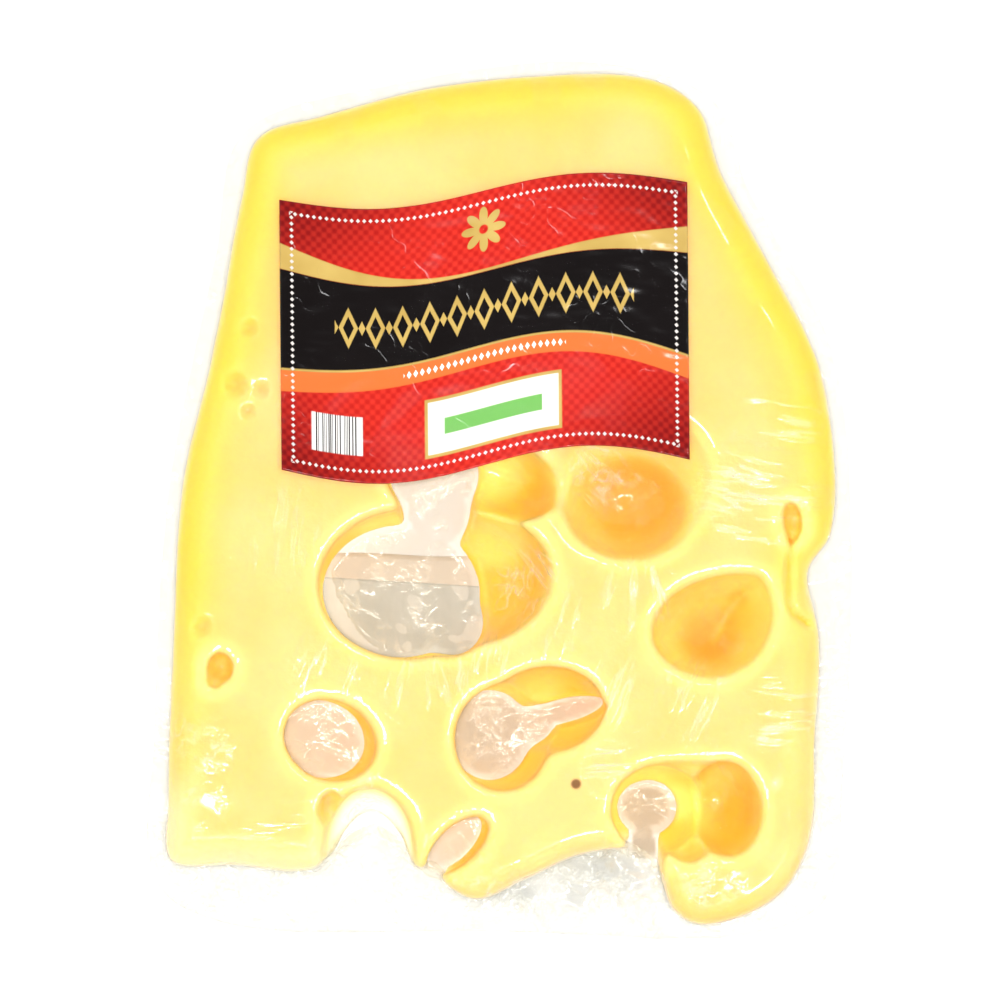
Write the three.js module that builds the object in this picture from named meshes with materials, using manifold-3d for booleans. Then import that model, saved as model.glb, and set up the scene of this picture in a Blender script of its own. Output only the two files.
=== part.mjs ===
import * as THREE from "three";
import { mergeVertices } from "three/addons/utils/BufferGeometryUtils.js";
import Module from "manifold-3d";

// A slab of holed cheese sealed in clear shrink film, with a paper label on its face and a small
// paper sticker under it. Sizes are millimetres. The slab lies flat: X runs across it, Y from its
// ragged cut edge to its rind, and Z up from the surface that it lies on.

// --- Driving dimensions ---------------------------------------------------------------------

const SLAB_THICKNESS = 24;
const RIM_DROP = 6; // how far the rounded rim falls before the side turns upright
const RIM_RINGS = 4;
const OUTLINE_STEPS = 120; // three for each point that the outline passes through

const FILM_FLANGE = 0.8; // the two crumpled layers of film that lie round the slab
const FILM_STEPS = 64;
const FILM_WEB = 1.2; // the two layers of film that meet inside an eye

const EYE_AROUND = 18;
const EYE_UP = 9;
const MOUTH_ROUND = 1.6; // the soft edge where an eye opens in the face
const MOUTH_SHARE = 1 / 3; // of a small eye's mouth, the most that its soft edge takes
const MOUTH_BOW = 0.3; // how nearly that edge follows a corner, where 0 is sharp
const CUT_PAST = 1; // how far a cutting shape reaches beyond the surface that it opens

// The label's head and foot wave once from side to side: how far they swing and how far they drop.
const LABEL = {
  width: 81.6, height: 54, thickness: 0.3, centre: [-3.1, 33.4], turn: 0.5,
  head: { swing: 2.7, drop: -2.8 },
  foot: { swing: 3.3, drop: -1.3 },
};
const LABEL_STEPS = 28;
const STICKER = { width: 50, height: 19, thickness: 0.3, centre: [-17.6, -26.5], turn: -3.4 };
const STICKER_CLEARANCE = 0.4;
const CORNER_RADIUS = 1.2;

// The slab's widest outline, as [x, y, width of its rounded rim], clockwise from the rind's left.
const SLAB_OUTLINE = [
  [-52.2, 60, 6], [-48.8, 72.6, 5], [-35, 77.4, 6], [-13.6, 82.9, 6], [8.4, 85.4, 6],
  [31, 84.4, 6], [39.6, 79, 6], [44.2, 66, 6], [55, 45.8, 6], [64, 27.6, 6],
  [67.4, 7, 6], [66.4, -7, 6], [61.8, -14.4, 5], [64, -27, 5], [63.6, -47, 6],
  [62.2, -68.4, 6], [55.4, -79.8, 6], [40.4, -85.2, 5], [34.8, -82, 4], [31.4, -73.6, 3],
  [26, -70.4, 3], [15.4, -71.4, 4], [4.4, -76.2, 4], [-4.6, -80.2, 4], [-10.4, -77.6, 3],
  [-13.4, -74.4, 3], [-17.6, -74, 3], [-20.8, -69, 3], [-25.4, -66.4, 3], [-30.8, -68.2, 3],
  [-35.2, -73, 3], [-40.6, -74.6, 4], [-53, -73.4, 5], [-66.4, -72.6, 5], [-66.9, -60, 6],
  [-66, -36, 6], [-65.2, -12, 6], [-62.8, 8, 6], [-58.8, 25, 6], [-55.4, 42, 6],
];

// The outline of the film's margin, as [x, y], clockwise from the same corner.
const FILM_OUTLINE = [
  [-52.9, 75.2], [-21.9, 85.4], [20.1, 89.8], [43.7, 82.2], [50.7, 64.8], [68.1, 30.8],
  [72.3, -9.2], [70.5, -55.2], [66.7, -82.2], [52.1, -89], [0.1, -88.6], [-57.9, -86.6],
  [-70.7, -78.2], [-70.9, -45.2], [-68.1, 1.8], [-58.5, 49.8],
];

// The eyes. A mouth is its two radii where it opens in the top face, turned by turn degrees. The
// widest part lies belly below the face, the eye reaches reach below its widest part, and lean is
// how far its axis moves in x and y for each millimetre down. A web is the height at which the
// film closes an eye that goes right through the slab.
const EYES = [
  { at: [-18.5, -16.8], mouth: [17.5, 14.6], turn: 0, belly: 8, reach: 30, lean: [-0.08, -0.09], web: 0 },
  { at: [-9.6, -24.6], mouth: [6, 6.2], turn: 0, belly: 12, reach: 40, lean: [0, -0.04], web: 0 },
  { at: [-4.2, -15.8], mouth: [14.4, 12.4], turn: 10, belly: 4, reach: 17, lean: [-0.2, 0] },
  { at: [-13.4, 6.4], mouth: [9.2, 9], turn: 0, belly: 10, reach: 30, lean: [0, -0.05], web: 0 },
  { at: [0, 4.6], mouth: [11.6, 7.6], turn: -25, belly: 3, reach: 12, lean: [-0.1, 0] },
  { at: [-12.8, -2], mouth: [6.4, 8], turn: 0, belly: 12, reach: 30, lean: [0, 0], web: 0 },
  { at: [26.6, 2.4], mouth: [14.6, 14.2], turn: 0, belly: 0, reach: 6, lean: [0, 0] },
  { at: [26, -1], mouth: [12.4, 10.6], turn: 0, belly: 0, reach: 12, lean: [-0.1, 0.05] },
  { at: [40.8, -25.8], mouth: [9.8, 9.2], turn: 0, belly: 0.5, reach: 11, lean: [0, 0] },
  { at: [46.4, -24.6], mouth: [8, 9.6], turn: 0, belly: 0.5, reach: 11, lean: [0, 0] },
  { at: [-33.8, -48], mouth: [9.1, 7.7], turn: -22, belly: 11, reach: 31, lean: [-0.14, -0.05], web: 6 },
  { at: [9.4, -42], mouth: [11, 8.2], turn: 5, belly: 3, reach: 11, lean: [0, 0] },
  { at: [13.2, -43.2], mouth: [8.2, 2.5], turn: 14, belly: 12, reach: 30, lean: [0, 0], web: 4 },
  { at: [6.4, -46.4], mouth: [5, 3.6], turn: 30, belly: 12, reach: 30, lean: [0, 0], web: 4 },
  { at: [0.6, -47.8], mouth: [9.2, 10.2], turn: 0, belly: 8, reach: 27, lean: [-0.13, -0.02], web: 4 },
  { at: [32.4, -61.8], mouth: [9.4, 8.6], turn: 0, belly: 5, reach: 22, lean: [-0.1, -0.06], web: 0 },
  { at: [38, -61.4], mouth: [12, 8.8], turn: 0, belly: 0.5, reach: 4, lean: [0, 0] },
  { at: [45.6, -61.8], mouth: [6.6, 9.2], turn: 6, belly: 3, reach: 14, lean: [-0.1, 0] },
  { at: [29.4, -71.4], mouth: [3, 5.4], turn: 0, belly: 12, reach: 60, lean: [0, 0], web: 0 },
  { at: [-8.2, -69], mouth: [7.4, 3.7], turn: 42, belly: 10, reach: 34, lean: [-0.06, -0.05], web: 0 },
  { at: [-26.4, -70.5], mouth: [9, 12.5], turn: 0, belly: 0, reach: 26, lean: [0, 0], web: 0 },
  { at: [-56, -33.6], mouth: [2.5, 3], turn: 0, belly: 1, reach: 6, lean: [0, 0] },
  { at: [58.4, -4.2], mouth: [1.7, 3.5], turn: 8, belly: 0.5, reach: 6, lean: [0, 0] },
  { at: [58, -15.4], mouth: [0.8, 7.2], turn: 0, belly: 0.5, reach: 2, lean: [0, 0] },
];

const COLOURS = { cheese: 0xf6dc6e, label: 0xc81a1c, sticker: 0xf4f1ea };

// --- Solids: joining and cutting --------------------------------------------------------------

const wasm = await Module();
wasm.setup();

function solidFrom(geometry) {
  const bare = geometry.index ? geometry.toNonIndexed() : geometry.clone();
  for (const name of Object.keys(bare.attributes)) {
    if (name !== "position") bare.deleteAttribute(name);
  }
  const merged = mergeVertices(bare, 1e-4);
  const mesh = new wasm.Mesh({
    numProp: 3,
    vertProperties: merged.attributes.position.array,
    triVerts: new Uint32Array(merged.index.array),
  });
  return new wasm.Manifold(mesh);
}

function geometryFrom(solid) {
  const { vertProperties, triVerts } = solid.getMesh();
  const geometry = new THREE.BufferGeometry();
  geometry.setAttribute("position", new THREE.BufferAttribute(vertProperties, 3));
  geometry.setIndex(new THREE.BufferAttribute(triVerts, 1));
  geometry.computeVertexNormals();
  return geometry;
}

const joined = (solids) => solids.reduce((a, b) => a.add(b));

// --- Outlines ---------------------------------------------------------------------------------

function smoothLoop(points, steps) {
  const knots = points.map(([x, y]) => new THREE.Vector3(x, y, 0));
  const curve = new THREE.CatmullRomCurve3(knots, true, "centripetal");
  return Array.from({ length: steps }, (_, i) => {
    const { x, y } = curve.getPoint(i / steps);
    return new THREE.Vector2(x, y);
  });
}

// The same outline with every knot moved inwards by its own rim width times share.
function insetKnots(points, share) {
  return points.map(([x, y, rim], i) => {
    const [beforeX, beforeY] = points.at(i - 1);
    const [afterX, afterY] = points[(i + 1) % points.length];
    const along = new THREE.Vector2(afterX - beforeX, afterY - beforeY).normalize();
    return [x + along.y * rim * share, y - along.x * rim * share];
  });
}

// --- The slab ---------------------------------------------------------------------------------

// Closes a stack of outlines, each with its height, lowest first, into one skin.
function loft(rings) {
  const count = rings[0].outline.length;
  const positions = rings.flatMap(({ outline, z }) => outline.flatMap((p) => [p.x, p.y, z]));
  const faces = [];
  for (let ring = 0; ring + 1 < rings.length; ring++) {
    for (let i = 0; i < count; i++) {
      const next = (i + 1) % count;
      const [a, b] = [ring * count + i, ring * count + next];
      faces.push(a, a + count, b, b, a + count, b + count);
    }
  }
  const capOf = (ring) => THREE.ShapeUtils.triangulateShape([...rings[ring].outline], []);
  const above = (rings.length - 1) * count;
  faces.push(...capOf(0).flatMap(([a, b, c]) => [c, b, a]));
  faces.push(...capOf(rings.length - 1).flat().map((i) => i + above));
  const geometry = new THREE.BufferGeometry();
  geometry.setAttribute("position", new THREE.Float32BufferAttribute(positions, 3));
  geometry.setIndex(faces);
  return geometry;
}

function slabSolid() {
  const rings = [{ outline: smoothLoop(SLAB_OUTLINE, OUTLINE_STEPS), z: 0 }];
  for (let i = 0; i <= RIM_RINGS; i++) {
    const angle = ((i / RIM_RINGS) * Math.PI) / 2;
    const knots = insetKnots(SLAB_OUTLINE, 1 - Math.cos(angle));
    const z = SLAB_THICKNESS - RIM_DROP * (1 - Math.sin(angle));
    rings.push({ outline: smoothLoop(knots, OUTLINE_STEPS), z });
  }
  return solidFrom(loft(rings));
}

function flangeSolid() {
  const shape = new THREE.Shape(smoothLoop(FILM_OUTLINE, FILM_STEPS));
  return solidFrom(new THREE.ExtrudeGeometry(shape, { depth: FILM_FLANGE, bevelEnabled: false }));
}

// --- The eyes ---------------------------------------------------------------------------------

// The hollow of one eye: an ellipsoid that widens at its mouth, less the film that closes it.
function eyeSolid({ at, mouth, turn, belly, reach, lean, web }) {
  const opening = Math.sqrt(1 - (belly / reach) ** 2);
  const hollow = new THREE.SphereGeometry(1, EYE_AROUND, EYE_UP)
    .rotateX(Math.PI / 2)
    .scale(mouth[0] / opening, mouth[1] / opening, reach)
    .translate(0, 0, -belly);
  const round = Math.min(MOUTH_ROUND, Math.min(...mouth) * MOUTH_SHARE);
  const wider = 1 + round / Math.min(...mouth);
  const bowed = [1 + (wider - 1) * MOUTH_BOW, -round * MOUTH_BOW];
  const profile = [[0, -round], [1, -round], bowed, [wider, 0], [wider, CUT_PAST], [0, CUT_PAST]]
    .map(([x, y]) => new THREE.Vector2(x, y));
  const flare = new THREE.LatheGeometry(profile, EYE_AROUND)
    .rotateX(Math.PI / 2)
    .scale(mouth[0], mouth[1], 1);
  const place = new THREE.Matrix4()
    .makeTranslation(at[0], at[1], SLAB_THICKNESS)
    .multiply(leaning(lean))
    .multiply(new THREE.Matrix4().makeRotationZ(THREE.MathUtils.degToRad(turn)));
  const eye = joined([hollow, flare].map((geometry) => solidFrom(geometry.applyMatrix4(place))));
  return web === undefined ? eye : eye.subtract(webPlate(web));
}

// Moves a point sideways as it goes down.
const leaning = ([x, y]) => new THREE.Matrix4().set(1, 0, -x, 0, 0, 1, -y, 0, 0, 0, 1, 0, 0, 0, 0, 1);

function webPlate(height) {
  const size = box.getSize(new THREE.Vector2());
  const plate = new THREE.BoxGeometry(2 * size.x, 2 * size.y, FILM_WEB);
  return solidFrom(plate.translate(0, 0, height + FILM_WEB / 2));
}

// --- The labels -------------------------------------------------------------------------------

function placed(geometry, { centre, turn }, z) {
  return geometry
    .rotateZ(THREE.MathUtils.degToRad(turn))
    .translate(centre[0], centre[1], z);
}

// A banner with upright sides.
function labelGeometry() {
  const { width, height, thickness, head, foot } = LABEL;
  const across = Array.from({ length: LABEL_STEPS + 1 }, (_, i) => i / LABEL_STEPS);
  const edge = (y, { swing, drop }) => across.map((s) => {
    const wave = swing * Math.sin(2 * Math.PI * s) + drop * s;
    return new THREE.Vector2((s - 0.5) * width, y - wave);
  });
  const outline = [...edge(-height / 2, foot), ...edge(height / 2, head).reverse()];
  return new THREE.ExtrudeGeometry(new THREE.Shape(outline), { depth: thickness, bevelEnabled: false });
}

function roundedRectangle(width, height, radius) {
  const [x, y] = [width / 2, height / 2];
  return new THREE.Shape()
    .moveTo(radius - x, -y)
    .absarc(x - radius, radius - y, radius, -Math.PI / 2, 0)
    .absarc(x - radius, y - radius, radius, 0, Math.PI / 2)
    .absarc(radius - x, y - radius, radius, Math.PI / 2, Math.PI)
    .absarc(radius - x, radius - y, radius, Math.PI, 1.5 * Math.PI);
}

function stickerGeometry(margin, depth) {
  const { width, height } = STICKER;
  const shape = roundedRectangle(width + 2 * margin, height + 2 * margin, CORNER_RADIUS);
  return new THREE.ExtrudeGeometry(shape, { depth, bevelEnabled: false, curveSegments: 3 });
}

// --- The whole --------------------------------------------------------------------------------

// The origin is the middle of the whole pack's footprint, on the surface that it lies on.
const box = new THREE.Box2().setFromPoints(smoothLoop(FILM_OUTLINE, FILM_STEPS));
const middle = box.getCenter(new THREE.Vector2());

function packSolid() {
  const bag = slabSolid().add(flangeSolid());
  const depth = CUT_PAST + STICKER.thickness;
  const recess = placed(stickerGeometry(STICKER_CLEARANCE, depth), STICKER, -CUT_PAST);
  return bag.subtract(joined(EYES.map(eyeSolid))).subtract(solidFrom(recess));
}

const plain = (color, roughness) => new THREE.MeshStandardMaterial({ color, roughness, metalness: 0 });

function named(name, geometry, material) {
  const mesh = new THREE.Mesh(geometry, material);
  mesh.name = name;
  return mesh;
}

const paper = plain(COLOURS.sticker, 0.6);
const pack = new THREE.Group();
pack.add(
  named("cheese_in_film", geometryFrom(packSolid()), plain(COLOURS.cheese, 0.35)),
  named("front_label", placed(labelGeometry(), LABEL, SLAB_THICKNESS), plain(COLOURS.label, 0.4)),
  named("back_sticker", placed(stickerGeometry(0, STICKER.thickness), STICKER, 0), paper),
);
pack.position.set(-middle.x, -middle.y, 0);

export default pack;
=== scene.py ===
"""Looks of a slab of holed cheese that is sealed in clear film, with a label on its face.

Lengths are millimetres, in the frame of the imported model, and meshes are scaled to metres as they
are made. The slab and its film are level sets of distance fields that are worked out on a grid.
"""

import math
from collections import namedtuple

import bpy
import numpy as np
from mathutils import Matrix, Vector


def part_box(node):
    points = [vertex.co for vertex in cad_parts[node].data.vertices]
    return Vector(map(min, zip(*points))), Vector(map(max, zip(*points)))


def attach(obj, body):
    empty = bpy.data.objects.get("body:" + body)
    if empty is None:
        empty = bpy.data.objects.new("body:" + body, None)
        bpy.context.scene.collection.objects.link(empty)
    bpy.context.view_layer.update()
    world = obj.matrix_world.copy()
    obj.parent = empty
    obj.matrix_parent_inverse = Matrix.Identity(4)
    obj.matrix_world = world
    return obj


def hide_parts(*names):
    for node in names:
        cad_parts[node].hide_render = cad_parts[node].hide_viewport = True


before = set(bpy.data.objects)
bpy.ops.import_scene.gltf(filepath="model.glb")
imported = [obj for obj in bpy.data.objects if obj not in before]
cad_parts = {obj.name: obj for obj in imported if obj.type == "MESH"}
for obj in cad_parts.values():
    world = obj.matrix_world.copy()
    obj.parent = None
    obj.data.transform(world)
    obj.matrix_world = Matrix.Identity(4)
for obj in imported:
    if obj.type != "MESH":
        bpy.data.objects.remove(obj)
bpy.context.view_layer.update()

MM = 0.001
SEED = 7


def node_box(name):
    low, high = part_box(name)
    return np.array(low) / MM, np.array(high) / MM


PACK_LOW, PACK_HIGH = node_box("cheese_in_film")
_, LABEL_HIGH = node_box("front_label")
STICKER_LOW, STICKER_HIGH = node_box("back_sticker")

# --- Driving dimensions ---

OVER_FACE = 0.3  # thickness of the film and the label over the cheese
FACE = PACK_HIGH[2] - OVER_FACE  # height of the cheese's top face
BASE = 0.35  # height of the cheese's underside, over film and sticker
FILM_GAP = 0.2
GRID_STEP = 0.82
GRID_MARGIN = 3.0
VALLEY_BLEND = 1.0

SLAB_OUTLINE = [
    (-52.2, 60), (-48.8, 72.6), (-35, 77.4), (-13.6, 82.9), (8.4, 85.4), (31, 84.4), (39.6, 79),
    (44.2, 66), (55, 45.8), (64, 27.6), (67.4, 7), (66.4, -7), (61.8, -14.4), (64, -27),
    (63.6, -47), (62.2, -68.4), (55.4, -79.8), (40.4, -85.2), (34.8, -82), (31.4, -73.6),
    (26, -70.4), (15.4, -71.4), (4.4, -76.2), (-4.6, -80.2), (-10.4, -77.6), (-13.4, -74.4),
    (-17.6, -74), (-20.8, -69), (-25.4, -66.4), (-30.8, -68.2), (-35.2, -73), (-40.6, -74.6),
    (-53, -73.4), (-66.4, -72.6), (-66.9, -60), (-66, -36), (-65.2, -12), (-62.8, 8), (-58.8, 25),
    (-55.4, 42),
]
FILM_OUTLINE = [
    (-52.9, 75.2), (-21.9, 85.4), (20.1, 89.8), (43.7, 82.2), (50.7, 64.8), (68.1, 30.8),
    (72.3, -9.2), (70.5, -55.2), (66.7, -82.2), (52.1, -89), (0.1, -88.6), (-57.9, -86.6),
    (-70.7, -78.2), (-70.9, -45.2), (-68.1, 1.8), (-58.5, 49.8),
]
RIM_ROUND = 6.0  # radius of the slab's rounded upper rim
RAGGED_ROUND = 4.0  # the same where the slab is torn across its eyes
RAGGED_X, RAGGED_Y = (-42.0, -34.0), (-58.0, -72.0)  # where the one turns into the other
FOOT_ROUND = 2.5
TORN_Y = -56, -68  # from where to where the slab's sides turn into torn paste
LUMPS = [(26, 1, 0.1), (9, 2, 0.03)]  # wavelength, seed and height of its unevenness

# An eye's mouth is its two radii in the face. It is widest at the depth belly and goes reach below
# that: beyond the slab, it is a hole right through. Its turn is in degrees, and its lean in x and y
# for each millimetre down. Two that are listed together make one eye with a valley.
Eye = namedtuple("Eye", "at mouth belly reach turn lean soft", defaults=(0, (0, 0), 2.2))
NOTCH = Eye((-26.4, -70.5), (9, 12.5), 0, 26, soft=3)
EYES = [
    Eye((-18.5, -16.8), (17.5, 14.6), 8, 30, lean=(-0.08, -0.09)),
    Eye((-9.6, -24.6), (6, 6.2), 12, 40, lean=(0, -0.04)),
    Eye((-4.2, -15.8), (14.4, 12.4), 4, 17, turn=10, lean=(-0.2, 0)),
    Eye((-13.4, 6.4), (9.2, 9), 10, 30, lean=(0, -0.05)),
    Eye((0, 4.6), (11.6, 7.6), 3, 12, turn=-25, lean=(-0.1, 0)),
    Eye((-12.8, -2), (6.4, 8), 12, 30),
    Eye((26.6, 3.6), (14.8, 13.4), 0, 6, soft=5),
    Eye((26.2, -0.8), (12.6, 10.8), 0, 12, lean=(-0.1, 0.05), soft=1.5),
    [
        Eye((46, -25.3), (15.4, 10.2), 0.5, 11, turn=8),
        Eye((41, -22.7), (13.4, 13), 0.5, 11.6),
    ],
    Eye((-33.8, -48), (9.1, 7.7), 11, 31, turn=-22, lean=(-0.14, -0.05)),
    Eye((9.4, -42), (11, 8.2), 3, 11, turn=5),
    Eye((13.2, -43.2), (8.2, 2.5), 12, 30, turn=14, soft=1),
    Eye((6.4, -46.4), (5, 3.6), 12, 30, turn=30, soft=1.4),
    Eye((0.6, -47.8), (9.2, 10.2), 8, 27, lean=(-0.13, -0.02)),
    Eye((32.4, -61.8), (9.4, 8.6), 5, 22, lean=(-0.1, -0.06)),
    Eye((38, -61.4), (12, 8.8), 0.5, 4),
    Eye((45.6, -61.8), (6.6, 9.2), 3, 14, turn=6, lean=(-0.1, 0)),
    Eye((37.8, -69.4), (3.4, 3), 1, 7, soft=1.2),
    Eye((29.4, -71.4), (3, 5.4), 12, 60, soft=1.6),
    Eye((-8.2, -69), (7.4, 3.7), 10, 34, turn=42, lean=(-0.06, -0.05), soft=1.8),
    NOTCH,
    Eye((-33.8, -62), (2.4, 3.6), 0.5, 5, soft=1),
    Eye((-56, -33.6), (2.5, 3), 1, 6, soft=0.8),
    Eye((-57, -36), (1.4, 1.6), 0.5, 2.5, soft=0.8),
    Eye((58.4, -4.2), (1.7, 3.5), 0.5, 6, turn=8, lean=(0.15, 0), soft=0.8),
]

# A groove is the points that it passes through, how wide it is and how deep.
GROOVES = [
    ([(58.4, -7.6), (57.8, -14), (57.6, -20.4), (58.8, -22.8), (61.6, -24.8)], 0.75, 1.5),
    ([(49.6, -17.8), (46.4, -22.6), (43.2, -28.6)], 0.8, 0.7),
]
# A fold is the points that a low ridge in the film passes through, its width and its height.
FOLDS = [([(-66, -45.4), (-53, -45.2)], 0.8, 0.12)]
# Shallow pits in the face, and brown spots on it: x, y and radius.
DIMPLES = [
    (-50.2, 34.4, 1.4), (-53, 23.2, 2), (-47.8, 22, 1.4), (-50.4, 17.8, 1.2), (-59.6, -25.4, 1.4),
]
BROWN_SPOTS = [(15.2, -56.8, 1.1), (10.4, -71.8, 0.35)]

# A web is where film closes an eye. Its last value is how strongly painted bounce light from the
# paste tints what is seen through it.
Web = namedtuple("Web", "at radii turn height warmth")
WEBS = [
    Web((-11, -8), (30, 34), 0, 1.0, 0.22),
    Web((-36, -48.6), (15, 14), -22, 7, 0.5),
    Web((6, -46.4), (19, 15), 10, 5, 0.66),
    Web((30.4, -61.4), (13, 14), 0, 3, 0.85),
    Web((-8, -68.8), (12, 8.5), 42, 4.5, 0.5),
]
SHADED_MARGIN = Web((12, -76), (30, 13), 0, 0, 0.5)  # where painted shadow and painted bounce light tint the film's margin
WEB_WAVES = [(9, 61, 0.6), (4, 62, 0.3)]  # wavelength, seed and size of a web's unevenness

# Painted shade where the paste is made deeper in colour than its depth makes it, and painted light
# where it is made paler: (x, y), radius, amount.
SHADE_TONES = [
    ((28.5, 0), 16, 0.76), ((43, -26), 13, 0.4), ((42.5, -28), 8, 0.55), ((48, -20.2), 2.8, 0.35),
    ((46, -23.4), 2.8, 0.35), ((8, -0.5), 6, 0.3), ((-14, -31), 7, -0.7), ((-1, 6), 9.5, -0.8),
    ((36.4, -62), 5.5, -1.0), ((47, -62), 8, 0.35), ((0.5, -9), 7, -0.8), ((-34, -10), 9, 0.3),
    ((58.4, -4.2), 5, 0.1), ((-56, -33.6), 5, 0.15), ((-33.8, -62), 4, 0.4),
]
SHADED_WALL_SIDE = 0.85, -0.53  # the side of an eye whose walls get the most painted shade

# Where the film is creased: (x, y), how far the creases reach, how strong they are, and which way
# they run: degrees, or the middle that they run out from, or nothing for a plain crumple.
CREASES = [
    ((28, -19), 9, 0.65, (27.2, 0.2)), ((52, 1), 14, 0.6, -8), ((-60, -49), 9, 0.55, None),
    ((-29, -62), 8, 0.8, None), ((4, -19), 8, 1.0, None), ((20, 5), 8, 0.7, -50),
    ((56, -42), 9, 0.6, 0), ((-2, -47), 6, 0.6, 60), ((43, -58), 6, 0.6, -60),
    ((22, -54), 6, 0.8, 5), ((42, -77), 8, 0.9, None), ((-6, -77), 8, 0.9, None),
    ((-16, -36), 10, 0.35, (-16, -18)), ((-34, -33), 9, 0.4, 70), ((25, -38), 9, 0.45, 70),
    ((-38, 31), 5, 0.4, None), ((20, 6), 8, 1.0, None), ((-4, -33), 9, 0.5, 80),
    ((10, -24), 9, 0.4, 75), ((38, -40), 10, 0.4, 65), ((56, 16), 10, 0.4, -10),
    ((-44, -6), 12, 0.25, 85), ((-44, -66), 9, 0.1, 5), ((30, 6), 6, 0.7, None),
    ((6, -15), 7, 0.8, -50), ((-60, -60), 7, 0.6, None), ((-26, -59), 6, 0.7, None),
]
STREAK_WIDTH, STREAK_LENGTH = 1.5, 9
CRUMPLE_HEIGHT, STREAK_HEIGHT = 0.16, 0.07  # how far the largest of them stand off the cheese

MARGIN_AROUND, MARGIN_ACROSS = 1400, 26  # points round the film's margin, and across it
MARGIN_TOP, MARGIN_UNDER = 0.75, 0.12
TENT_HEIGHT = 7.0  # how far the margin rises against the slab's side
LOOSE_Y = -20, -70  # from where to where the margin gets looser

SEAM_EDGE = -11.2
SEAM_WIDTH = 9.0
SEAM_REACH = 60.0
SEAM_TOP, SEAM_FILM = 0.16, 0.03

STICKER_SIZE = 50.0, 19.0
STICKER_TURN = -3.4
STICKER_TOP, STICKER_PAPER = 0.24, 0.12

LABEL_SIZE = 81.6, 54.0
LABEL_CENTRE = -3.1, 33.4
LABEL_TURN = 0.5
LABEL_HEAD = 2.7, -2.8  # how far the label's upper edge swings, and how far it drops across
LABEL_FOOT = 3.3, -1.3
LABEL_PAPER = 0.12
LABEL_CREASE = 0.1  # the most that the label's creases raise or sink it

# The heights of the label's bands, as shares of its own, at its two ends and in its middle.
STRIPE_FOOT = 0.292, 0.366
BAND_FOOT = 0.37, 0.432
BAND_HEAD = 0.745, 0.705
GOLD_HEAD = 0.84, 0.715
RULE = 0.008
WEAVE = 39, 26  # threads of the red field's check across the label and up it
LINKS = 11  # lozenges in the chain
LINKS_ACROSS = 15.0  # as many as would fill the label's width
LINK, LINK_HOLE, BEAD = (0.36, 0.075), (0.2, 0.042), (0.13, 0.026)  # half widths and heights
STRIPE_DOT = 0.36, 0.014
DOTS_ACROSS = 62.0
DOTS_REACH = 0.199
ROSETTE_UP = 0.86
PETALS = 2.0, 2.4  # how far the rosette reaches between its petals, and how much further in them
EYELET = 0.9
BORDER_INSET = 2.4  # of the label's row of dots
BORDER_PITCH = 1.25
BORDER_DOT = 0.42
PANEL_AT = 0.52
# Half the width of the panel and its parts, and their lower and upper edges.
PANEL_FRAME = 0.168, (0.073, 0.287)
PANEL = 0.16, (0.085, 0.275)
PANEL_BAR = 0.12, (0.15, 0.21)
CODE_ACROSS, CODE_UP = (0.075, 0.2), (0.1, 0.24)


# --- Fields ---


def smooth_loop(knots, per_knot=10):
    """A closed centripetal Catmull-Rom curve through the knots, as an array of points."""
    knots = np.array(knots, float)
    points = []
    for p in zip(*(np.roll(knots, 1 - k, axis=0) for k in range(4))):
        t = [0.0]
        for a, b in zip(p, p[1:]):
            t.append(t[-1] + math.sqrt(np.linalg.norm(b - a)))
        for u in np.linspace(t[1], t[2], per_knot, endpoint=False):
            a1, a2, a3 = (
                ((t[k + 1] - u) * p[k] + (u - t[k]) * p[k + 1]) / (t[k + 1] - t[k])
                for k in range(3)
            )
            b1 = ((t[2] - u) * a1 + (u - t[0]) * a2) / (t[2] - t[0])
            b2 = ((t[3] - u) * a2 + (u - t[1]) * a3) / (t[3] - t[1])
            points.append(((t[2] - u) * b1 + (u - t[1]) * b2) / (t[2] - t[1]))
    return np.array(points)


def even(loop, count=4000):
    """The same closed loop with its points spread evenly along it."""
    closed = np.vstack([loop, loop[:1]])
    run = np.concatenate([[0], np.cumsum(np.hypot(*np.diff(closed, axis=0).T))])
    places = np.linspace(0, run[-1], count, endpoint=False)
    return np.stack([np.interp(places, run, closed[:, k]) for k in range(2)], axis=1)


def squared_distance(x, y, start, end):
    """From each place to a straight line between two points."""
    (ax, ay), (bx, by) = start, end
    run_x, run_y = bx - ax, by - ay
    t = np.clip(((x - ax) * run_x + (y - ay) * run_y) / (run_x * run_x + run_y * run_y), 0, 1)
    return (x - ax - t * run_x) ** 2 + (y - ay - t * run_y) ** 2


def distance_to_loop(x, y, loop):
    """Signed distance to a closed outline, negative inside it."""
    best = np.full(x.shape, np.inf)
    inside = np.zeros(x.shape, bool)
    for start, end in zip(loop, np.roll(loop, -1, axis=0)):
        best = np.minimum(best, squared_distance(x, y, start, end))
        (ax, ay), (bx, by) = start, end
        spans = (ay > y) != (by > y)
        with np.errstate(divide="ignore", invalid="ignore"):
            inside ^= spans & (x < ax + (y - ay) * (bx - ax) / (by - ay))
    return np.where(inside, -1, 1) * np.sqrt(best)


def line_height(x, y, line):
    """How far a groove or a fold moves the surface at each place, in plan."""
    knots, width, height = line
    best = np.min([squared_distance(x, y, *ends) for ends in zip(knots, knots[1:])], axis=0)
    return height * np.exp(-best / width**2)


def ramp(value, start, end):
    """Rises smoothly from 0 at start to 1 at end."""
    t = np.clip((value - start) / (end - start), 0, 1)
    return t * t * (3 - 2 * t)


def smooth_max(a, b, blend):
    h = np.clip(0.5 + 0.5 * (a - b) / blend, 0, 1)
    return b + (a - b) * h + blend * h * (1 - h)


def turned(x, y, degrees):
    """The same places on axes that are turned by so many degrees."""
    c, s = math.cos(math.radians(degrees)), math.sin(math.radians(degrees))
    return c * x + s * y, c * y - s * x


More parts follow.
